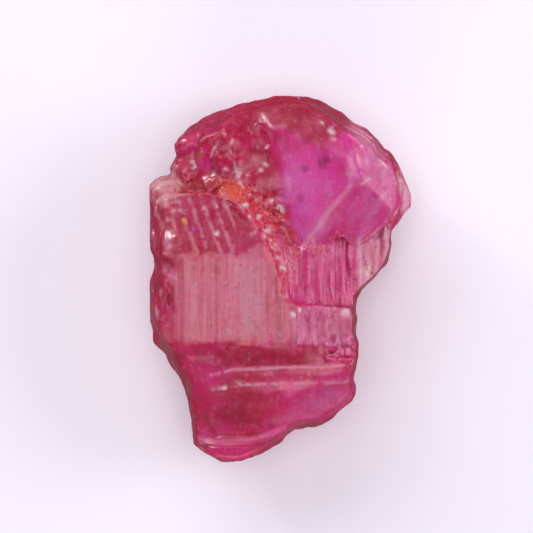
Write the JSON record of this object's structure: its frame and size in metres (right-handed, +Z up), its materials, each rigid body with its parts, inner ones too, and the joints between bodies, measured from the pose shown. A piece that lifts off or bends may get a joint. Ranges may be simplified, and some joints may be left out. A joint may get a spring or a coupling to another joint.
{
  "type": "rough ruby",
  "caption": "Rough ruby crystal fragment lying on its flat parting plane, with a striated satin prism face, a smooth conchoidal lobe, ledges and a broken shoulder on its upper side",
  "frame": {"origin": "the middle of the bounding box in X and Y, at the level of the flat underside that the stone rests on", "axes": "X runs across the stone, Y along it from the narrow tip at -Y to the broad end at +Y, and Z points up out of its best face"},
  "size_m": [0.013, 0.0182, 0.0072],
  "materials": {
    "ruby": "translucent pink-red corundum, satin on the striated face and glassy on fresh fractures"
  },
  "bodies": {
    "root": {"ruby": "ruby"}
  },
  "joints": []
}
